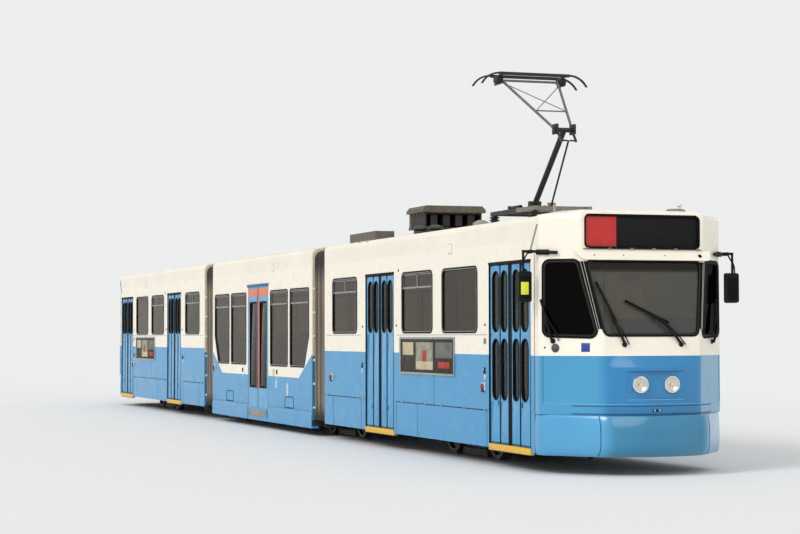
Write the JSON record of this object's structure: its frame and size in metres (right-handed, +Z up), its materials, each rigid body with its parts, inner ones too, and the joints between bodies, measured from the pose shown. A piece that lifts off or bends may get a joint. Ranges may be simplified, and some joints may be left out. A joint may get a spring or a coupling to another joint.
{
  "type": "articulated tram",
  "caption": "Three-section articulated city tram for one driving direction, doors on its right side, with folding doors, bogies, bellows joints and a roof pantograph.",
  "frame": {"origin": "on the ground under the middle of the tram, at the bottom centre of its bounding box", "axes": "+X towards the driver's end, +Y to the tram's left, +Z up"},
  "size_m": [30.64, 3.24, 5.7398],
  "materials": {
    "cream_paint": "gloss",
    "blue_paint": "gloss",
    "roof_paint": "satin",
    "underframe": "satin",
    "floor_cover": "matte",
    "window_glass": "clear",
    "door_leaf": "gloss",
    "bellows": "matte",
    "seat_cover": "woven",
    "wheel_steel": "worn tread",
    "bogie_paint": "satin",
    "lamp_glass": "clear",
    "red_lamp": "gloss",
    "black_plastic": "matte",
    "roof_gear": "satin",
    "arm_steel": "satin",
    "cab_plastic": "matte"
  },
  "bodies": {
    "middle_section": {"mid_sides": "cream_paint", "mid_roof": "roof_paint", "mid_floor": "floor_cover", "mid_glass": "window_glass", "mid_door": "door_leaf", "mid_seats": "seat_cover", "front_bellows": "bellows", "rear_bellows": "bellows"},
    "front_section": {"front_sides": "cream_paint", "front_roof": "roof_paint", "front_floor": "floor_cover", "front_glass": "window_glass", "nose": "cream_paint", "front_bumper": "blue_paint", "cab_fittings": "cab_plastic", "front_seats": "seat_cover", "headlamps": "lamp_glass", "mirrors": "black_plastic", "roof_gear": "roof_gear", "pantograph_base": "arm_steel"},
    "rear_section": {"rear_sides": "cream_paint", "rear_roof": "roof_paint", "rear_floor": "floor_cover", "rear_glass": "window_glass", "tail": "cream_paint", "rear_bumper": "blue_paint", "rear_seats": "seat_cover", "tail_lamps": "red_lamp"},
    "lower_arm": {"pantograph_lower_arm": "arm_steel"},
    "upper_arm": {"pantograph_upper_arm": "roof_gear"},
    "collector_head": {"pantograph_head": "roof_gear"},
    "control_rod": {"pantograph_rod": "arm_steel"},
    "bogie_1": {"bogie_1": "bogie_paint"},
    "wheelset_1": {"wheelset_1": "wheel_steel"},
    "wheelset_2": {"wheelset_2": "wheel_steel"},
    "bogie_2": {"bogie_2": "bogie_paint"},
    "wheelset_3": {"wheelset_3": "wheel_steel"},
    "wheelset_4": {"wheelset_4": "wheel_steel"},
    "bogie_3": {"bogie_3": "bogie_paint"},
    "wheelset_5": {"wheelset_5": "wheel_steel"},
    "wheelset_6": {"wheelset_6": "wheel_steel"},
    "bogie_4": {"bogie_4": "bogie_paint"},
    "wheelset_7": {"wheelset_7": "wheel_steel"},
    "wheelset_8": {"wheelset_8": "wheel_steel"},
    "front_inner_door_a_post_leaf": {"front_inner_door_a_post_leaf": "door_leaf"},
    "front_inner_door_a_free_leaf": {"front_inner_door_a_free_leaf": "door_leaf"},
    "front_inner_door_b_post_leaf": {"front_inner_door_b_post_leaf": "door_leaf"},
    "front_inner_door_b_free_leaf": {"front_inner_door_b_free_leaf": "door_leaf"},
    "front_end_door_a_post_leaf": {"front_end_door_a_post_leaf": "door_leaf"},
    "front_end_door_a_free_leaf": {"front_end_door_a_free_leaf": "door_leaf"},
    "front_end_door_b_post_leaf": {"front_end_door_b_post_leaf": "door_leaf"},
    "front_end_door_b_free_leaf": {"front_end_door_b_free_leaf": "door_leaf"},
    "rear_inner_door_a_post_leaf": {"rear_inner_door_a_post_leaf": "door_leaf"},
    "rear_inner_door_a_free_leaf": {"rear_inner_door_a_free_leaf": "door_leaf"},
    "rear_inner_door_b_post_leaf": {"rear_inner_door_b_post_leaf": "door_leaf"},
    "rear_inner_door_b_free_leaf": {"rear_inner_door_b_free_leaf": "door_leaf"},
    "rear_end_door_a_post_leaf": {"rear_end_door_a_post_leaf": "door_leaf"},
    "rear_end_door_a_free_leaf": {"rear_end_door_a_free_leaf": "door_leaf"},
    "rear_end_door_b_post_leaf": {"rear_end_door_b_post_leaf": "door_leaf"},
    "rear_end_door_b_free_leaf": {"rear_end_door_b_free_leaf": "door_leaf"}
  },
  "joints": [
    {"name": "front_articulation", "type": "hinge", "parent": "middle_section", "child": "front_section", "pos_m": [4.2, 0, 0.8], "axis": [0, 0, 1], "range_deg": [-20, 20], "deforming": ["front_bellows"]},
    {"name": "rear_articulation", "type": "hinge", "parent": "middle_section", "child": "rear_section", "pos_m": [-4.2, 0, 0.8], "axis": [0, 0, 1], "range_deg": [-20, 20], "deforming": ["rear_bellows"]},
    {"name": "bogie_1_swivel", "type": "hinge", "parent": "rear_section", "child": "bogie_1", "pos_m": [-10.6, 0, 0.76], "axis": [0, 0, 1], "range_deg": [-8, 8]},
    {"name": "wheelset_1_spin", "type": "hinge", "parent": "bogie_1", "child": "wheelset_1", "pos_m": [-11.5, 0, 0.365], "axis": [0, 1, 0], "continuous": true},
    {"name": "wheelset_2_spin", "type": "hinge", "parent": "bogie_1", "child": "wheelset_2", "pos_m": [-9.7, 0, 0.365], "axis": [0, 1, 0], "continuous": true},
    {"name": "bogie_2_swivel", "type": "hinge", "parent": "middle_section", "child": "bogie_2", "pos_m": [-4.2, 0, 0.76], "axis": [0, 0, 1], "range_deg": [-10, 10]},
    {"name": "wheelset_3_spin", "type": "hinge", "parent": "bogie_2", "child": "wheelset_3", "pos_m": [-5.1, 0, 0.365], "axis": [0, 1, 0], "continuous": true},
    {"name": "wheelset_4_spin", "type": "hinge", "parent": "bogie_2", "child": "wheelset_4", "pos_m": [-3.3, 0, 0.365], "axis": [0, 1, 0], "continuous": true},
    {"name": "bogie_3_swivel", "type": "hinge", "parent": "middle_section", "child": "bogie_3", "pos_m": [4.2, 0, 0.76], "axis": [0, 0, 1], "range_deg": [-10, 10]},
    {"name": "wheelset_5_spin", "type": "hinge", "parent": "bogie_3", "child": "wheelset_5", "pos_m": [3.3, 0, 0.365], "axis": [0, 1, 0], "continuous": true},
    {"name": "wheelset_6_spin", "type": "hinge", "parent": "bogie_3", "child": "wheelset_6", "pos_m": [5.1, 0, 0.365], "axis": [0, 1, 0], "continuous": true},
    {"name": "bogie_4_swivel", "type": "hinge", "parent": "front_section", "child": "bogie_4", "pos_m": [10.6, 0, 0.76], "axis": [0, 0, 1], "range_deg": [-8, 8]},
    {"name": "wheelset_7_spin", "type": "hinge", "parent": "bogie_4", "child": "wheelset_7", "pos_m": [9.7, 0, 0.365], "axis": [0, 1, 0], "continuous": true},
    {"name": "wheelset_8_spin", "type": "hinge", "parent": "bogie_4", "child": "wheelset_8", "pos_m": [11.5, 0, 0.365], "axis": [0, 1, 0], "continuous": true},
    {"name": "front_inner_door_a_post_hinge", "type": "hinge", "parent": "front_section", "child": "front_inner_door_a_post_leaf", "pos_m": [6.99, -1.297, 1.5], "axis": [0, 0, 1], "range_deg": [0, 86]},
    {"name": "front_inner_door_a_fold_hinge", "type": "hinge", "parent": "front_inner_door_a_post_leaf", "child": "front_inner_door_a_free_leaf", "pos_m": [7.3345, -1.316, 1.5], "axis": [0, 0, 1], "range_deg": [-172, 0]},
    {"name": "front_inner_door_b_post_hinge", "type": "hinge", "parent": "front_section", "child": "front_inner_door_b_post_leaf", "pos_m": [8.38, -1.297, 1.5], "axis": [0, 0, -1], "range_deg": [0, 86]},
    {"name": "front_inner_door_b_fold_hinge", "type": "hinge", "parent": "front_inner_door_b_post_leaf", "child": "front_inner_door_b_free_leaf", "pos_m": [8.0355, -1.316, 1.5], "axis": [0, 0, -1], "range_deg": [-172, 0]},
    {"name": "front_end_door_a_post_hinge", "type": "hinge", "parent": "front_section", "child": "front_end_door_a_post_leaf", "pos_m": [12.59, -1.297, 1.5], "axis": [0, 0, 1], "range_deg": [0, 86]},
    {"name": "front_end_door_a_fold_hinge", "type": "hinge", "parent": "front_end_door_a_post_leaf", "child": "front_end_door_a_free_leaf", "pos_m": [12.947, -1.316, 1.5], "axis": [0, 0, 1], "range_deg": [-172, 0]},
    {"name": "front_end_door_b_post_hinge", "type": "hinge", "parent": "front_section", "child": "front_end_door_b_post_leaf", "pos_m": [14.03, -1.297, 1.5], "axis": [0, 0, -1], "range_deg": [0, 86]},
    {"name": "front_end_door_b_fold_hinge", "type": "hinge", "parent": "front_end_door_b_post_leaf", "child": "front_end_door_b_free_leaf", "pos_m": [13.673, -1.316, 1.5], "axis": [0, 0, -1], "range_deg": [-172, 0]},
    {"name": "rear_inner_door_a_post_hinge", "type": "hinge", "parent": "rear_section", "child": "rear_inner_door_a_post_leaf", "pos_m": [-6.99, -1.297, 1.5], "axis": [0, 0, -1], "range_deg": [0, 86]},
    {"name": "rear_inner_door_a_fold_hinge", "type": "hinge", "parent": "rear_inner_door_a_post_leaf", "child": "rear_inner_door_a_free_leaf", "pos_m": [-7.3345, -1.316, 1.5], "axis": [0, 0, -1], "range_deg": [-172, 0]},
    {"name": "rear_inner_door_b_post_hinge", "type": "hinge", "parent": "rear_section", "child": "rear_inner_door_b_post_leaf", "pos_m": [-8.38, -1.297, 1.5], "axis": [0, 0, 1], "range_deg": [0, 86]},
    {"name": "rear_inner_door_b_fold_hinge", "type": "hinge", "parent": "rear_inner_door_b_post_leaf", "child": "rear_inner_door_b_free_leaf", "pos_m": [-8.0355, -1.316, 1.5], "axis": [0, 0, 1], "range_deg": [-172, 0]},
    {"name": "rear_end_door_a_post_hinge", "type": "hinge", "parent": "rear_section", "child": "rear_end_door_a_post_leaf", "pos_m": [-12.59, -1.297, 1.5], "axis": [0, 0, -1], "range_deg": [0, 86]},
    {"name": "rear_end_door_a_fold_hinge", "type": "hinge", "parent": "rear_end_door_a_post_leaf", "child": "rear_end_door_a_free_leaf", "pos_m": [-12.947, -1.316, 1.5], "axis": [0, 0, -1], "range_deg": [-172, 0]},
    {"name": "rear_end_door_b_post_hinge", "type": "hinge", "parent": "rear_section", "child": "rear_end_door_b_post_leaf", "pos_m": [-14.03, -1.297, 1.5], "axis": [0, 0, 1], "range_deg": [0, 86]},
    {"name": "rear_end_door_b_fold_hinge", "type": "hinge", "parent": "rear_end_door_b_post_leaf", "child": "rear_end_door_b_free_leaf", "pos_m": [-13.673, -1.316, 1.5], "axis": [0, 0, 1], "range_deg": [-172, 0]},
    {"name": "lower_arm_lift", "type": "hinge", "parent": "front_section", "child": "lower_arm", "pos_m": [11.07, 0, 3.77], "axis": [0, -1, 0], "range_deg": [-36, 8]},
    {"name": "upper_arm_fold", "type": "hinge", "parent": "lower_arm", "child": "upper_arm", "pos_m": [12.17, 0, 4.78], "axis": [0, -1, 0], "range_deg": [-16, 72]},
    {"name": "head_level", "type": "hinge", "parent": "upper_arm", "child": "collector_head", "pos_m": [10.9, 0, 5.635], "axis": [0, -1, 0], "range_deg": [-36, 8]},
    {"name": "control_rod_swing", "type": "hinge", "parent": "front_section", "child": "control_rod", "pos_m": [11.7, 0, 3.725], "axis": [0, -1, 0], "range_deg": [-46, 11]}
  ],
  "couplings": [
    {"joint": "bogie_2_swivel", "follows": "rear_articulation", "ratio": 0.5},
    {"joint": "bogie_3_swivel", "follows": "front_articulation", "ratio": 0.5},
    {"joint": "front_inner_door_a_fold_hinge", "follows": "front_inner_door_a_post_hinge", "ratio": -2},
    {"joint": "front_inner_door_b_fold_hinge", "follows": "front_inner_door_b_post_hinge", "ratio": -2},
    {"joint": "front_end_door_a_fold_hinge", "follows": "front_end_door_a_post_hinge", "ratio": -2},
    {"joint": "front_end_door_b_fold_hinge", "follows": "front_end_door_b_post_hinge", "ratio": -2},
    {"joint": "rear_inner_door_a_fold_hinge", "follows": "rear_inner_door_a_post_hinge", "ratio": -2},
    {"joint": "rear_inner_door_b_fold_hinge", "follows": "rear_inner_door_b_post_hinge", "ratio": -2},
    {"joint": "rear_end_door_a_fold_hinge", "follows": "rear_end_door_a_post_hinge", "ratio": -2},
    {"joint": "rear_end_door_b_fold_hinge", "follows": "rear_end_door_b_post_hinge", "ratio": -2},
    {"joint": "upper_arm_fold", "follows": "lower_arm_lift", "ratio": -2},
    {"joint": "head_level", "follows": "lower_arm_lift", "ratio": 1},
    {"joint": "control_rod_swing", "follows": "lower_arm_lift", "ratio": 1.262}
  ]
}
